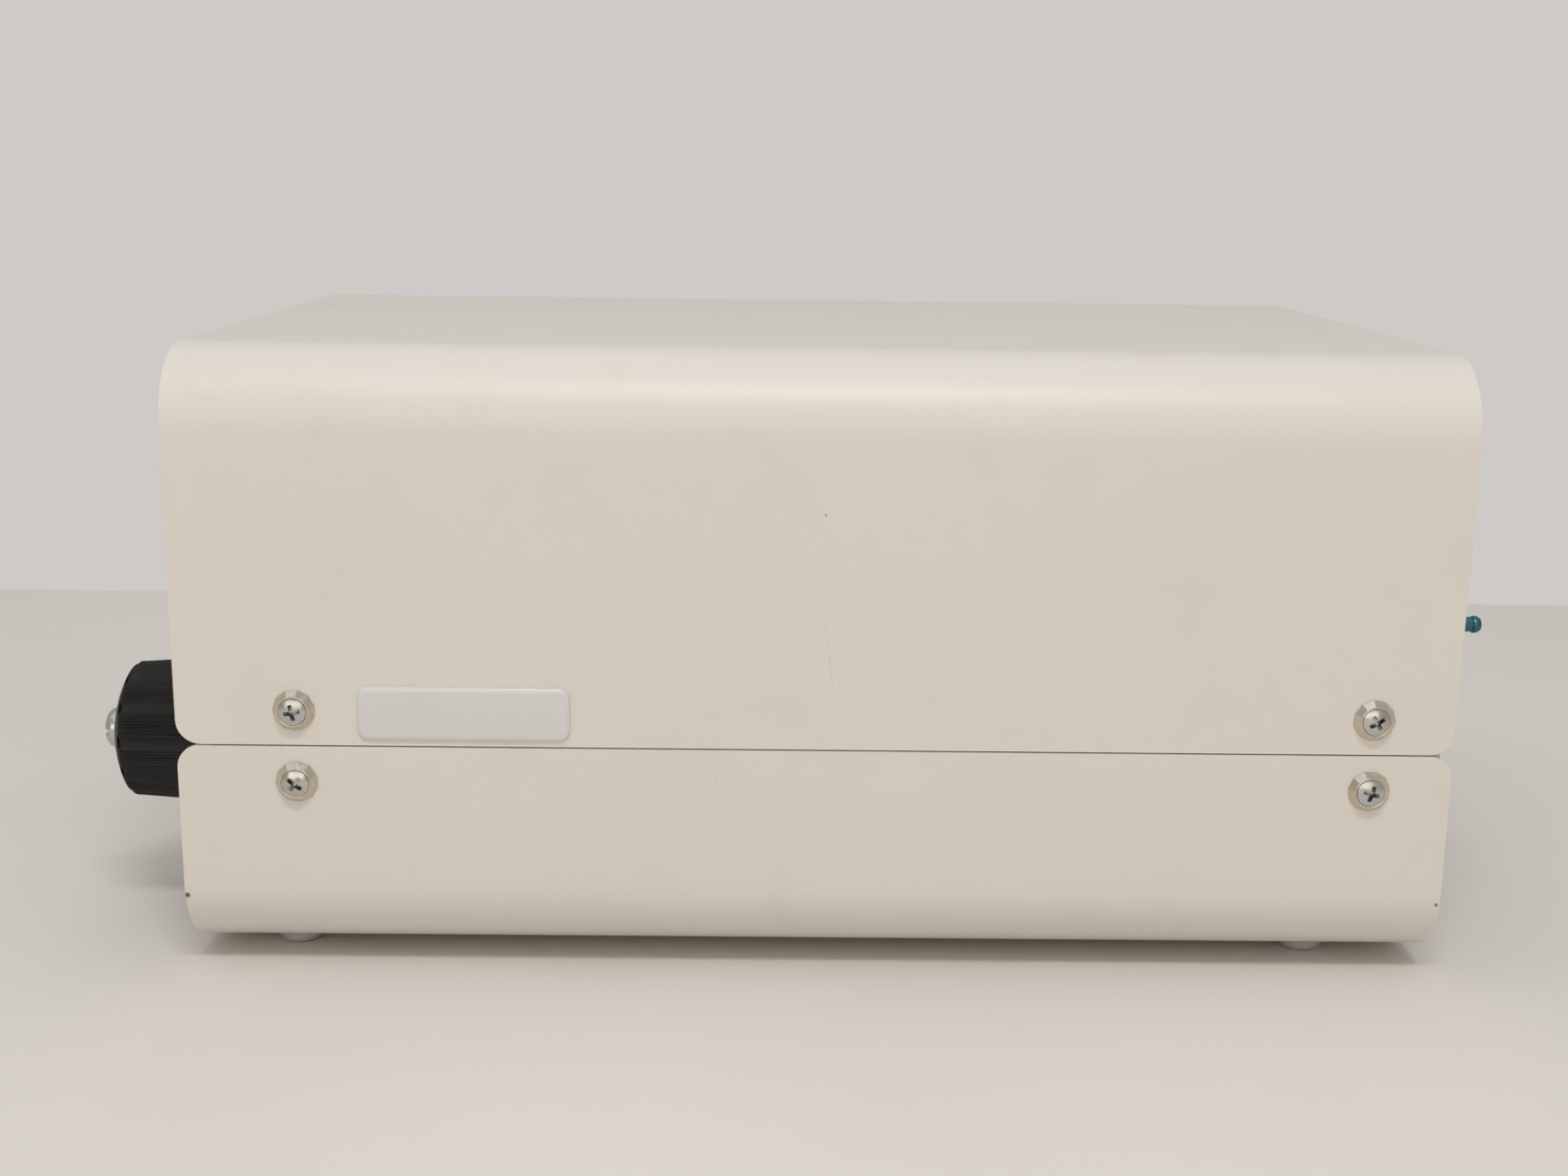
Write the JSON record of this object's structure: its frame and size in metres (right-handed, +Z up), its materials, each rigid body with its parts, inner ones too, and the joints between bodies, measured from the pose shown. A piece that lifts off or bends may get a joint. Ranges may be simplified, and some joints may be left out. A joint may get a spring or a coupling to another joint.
{
  "type": "microscope incubation control unit",
  "caption": "Bench-top gas and temperature control unit: two bent sheet-metal shells round a frame, with a fluted flow knob, display, keys and switch in front and ports, fan and inlet behind.",
  "frame": {"origin": "middle of the whole object's footprint, on the surface that its feet stand on", "axes": "+X from the knob end to the rear, +Z up, and the labelled side faces -Y"},
  "size_m": [0.4022, 0.2322, 0.1693],
  "materials": {
    "shell_paint": "powder coat with a fine orange peel",
    "panel_finish": "satin anodised",
    "rail_metal": "mill finish",
    "screw_zinc": "bright zinc",
    "washer_nickel": "warm nickel plate",
    "foot_rubber": "grey translucent",
    "label_resin": "clear domed resin over silver white",
    "knob_plastic": "ribbed, slightly shiny",
    "black_plastic": "fine texture",
    "key_plastic": "satin",
    "window": "dark tinted window",
    "board_laminate": "green solder mask",
    "component_plastic": "moulded",
    "terminal_plastic": "moulded",
    "valve_brass": "turned",
    "stainless": "turned",
    "nipple_blue": "blue anodised",
    "nut_nickel": "nickel plate",
    "hose_clear": "polyurethane",
    "contact_metal": "plated",
    "fuse_glass": "white ceramic with caps",
    "sink_black": "black anodised",
    "core_tape": "wound polyester tape",
    "seal_rubber": "black",
    "plate_zinc": "zinc plate",
    "light_lens": "diffusing lens"
  },
  "bodies": {
    "case": {"upper_shell": "shell_paint", "lower_shell": "shell_paint", "shell_screws": "screw_zinc", "cup_washers": "washer_nickel", "feet": "foot_rubber", "badge": "label_resin", "side_rails": "rail_metal", "frame_screws": "screw_zinc", "front_panel": "panel_finish", "rear_panel": "panel_finish", "display_window": "window", "display_module": "black_plastic", "control_board": "board_laminate", "board_spacers": "nut_nickel", "key_switches": "black_plastic", "status_lights": "light_lens", "switch_housing": "black_plastic", "valve_body": "valve_brass", "valve_nut": "nut_nickel", "spindle_seal": "seal_rubber", "gas_inlet_nipple": "nipple_blue", "gas_outlet_nipple": "nipple_blue", "nipple_nuts": "nut_nickel", "solenoid_bracket": "plate_zinc", "solenoid_body": "valve_brass", "solenoid_coil": "black_plastic", "solenoid_spring": "stainless", "inlet_hose": "hose_clear", "valve_hose": "hose_clear", "outlet_hose": "hose_clear", "mains_inlet": "black_plastic", "inlet_pins": "contact_metal", "sensor_sockets": "nut_nickel", "socket_nuts": "nut_nickel", "fan_housing": "black_plastic", "fan_guard": "plate_zinc", "fan_screws": "screw_zinc", "transformer_core": "core_tape", "transformer_pads": "seal_rubber", "transformer_plate": "plate_zinc", "transformer_bolt": "screw_zinc", "main_board": "board_laminate", "heat_sink": "sink_black", "relays": "component_plastic", "capacitors": "component_plastic", "terminal_block": "terminal_plastic"},
    "knob_set": {"knob": "knob_plastic", "knob_screw": "screw_zinc", "valve_spindle": "stainless"},
    "needle": {"valve_needle": "stainless"},
    "rocker": {"switch_rocker": "black_plastic"},
    "set_key": {"key_set": "key_plastic"},
    "up_key": {"key_up": "key_plastic"},
    "down_key": {"key_down": "key_plastic"},
    "fuse_tray": {"fuse_drawer": "black_plastic", "fuses": "fuse_glass"},
    "rotor": {"fan_rotor": "black_plastic"},
    "plunger": {"solenoid_plunger": "stainless"}
  },
  "joints": [
    {"name": "knob_turn", "type": "hinge", "parent": "case", "child": "knob_set", "pos_m": [-0.18, -0.06, 0.0529], "axis": [-1, 0, 0], "range_deg": [0, 270]},
    {"name": "needle_travel", "type": "slide", "parent": "case", "child": "needle", "axis": [-1, 0, 0], "range_m": [0, 0.0009]},
    {"name": "power_rock", "type": "hinge", "parent": "case", "child": "rocker", "pos_m": [-0.1531, 0.08, 0.042], "axis": [0, 1, 0], "range_deg": [0, 22]},
    {"name": "set_press", "type": "slide", "parent": "case", "child": "set_key", "axis": [1, 0, 0], "range_m": [0, 0.0008], "stiffness_N_per_m": 400, "springref_m": -0.001},
    {"name": "up_press", "type": "slide", "parent": "case", "child": "up_key", "axis": [1, 0, 0], "range_m": [0, 0.0008], "stiffness_N_per_m": 400, "springref_m": -0.001},
    {"name": "down_press", "type": "slide", "parent": "case", "child": "down_key", "axis": [1, 0, 0], "range_m": [0, 0.0008], "stiffness_N_per_m": 400, "springref_m": -0.001},
    {"name": "fuse_slide", "type": "slide", "parent": "case", "child": "fuse_tray", "axis": [1, 0, 0], "range_m": [0, 0.015]},
    {"name": "fan_spin", "type": "hinge", "parent": "case", "child": "rotor", "pos_m": [0.16, 0.05, 0.115], "axis": [1, 0, 0], "continuous": true},
    {"name": "plunger_lift", "type": "slide", "parent": "case", "child": "plunger", "axis": [0, 0, 1], "range_m": [0, 0.002], "stiffness_N_per_m": 300, "springref_m": -0.005, "deforming": ["solenoid_spring"]}
  ],
  "couplings": [
    {"joint": "needle_travel", "follows": "knob_turn", "m_per_rad": 0.00019}
  ]
}
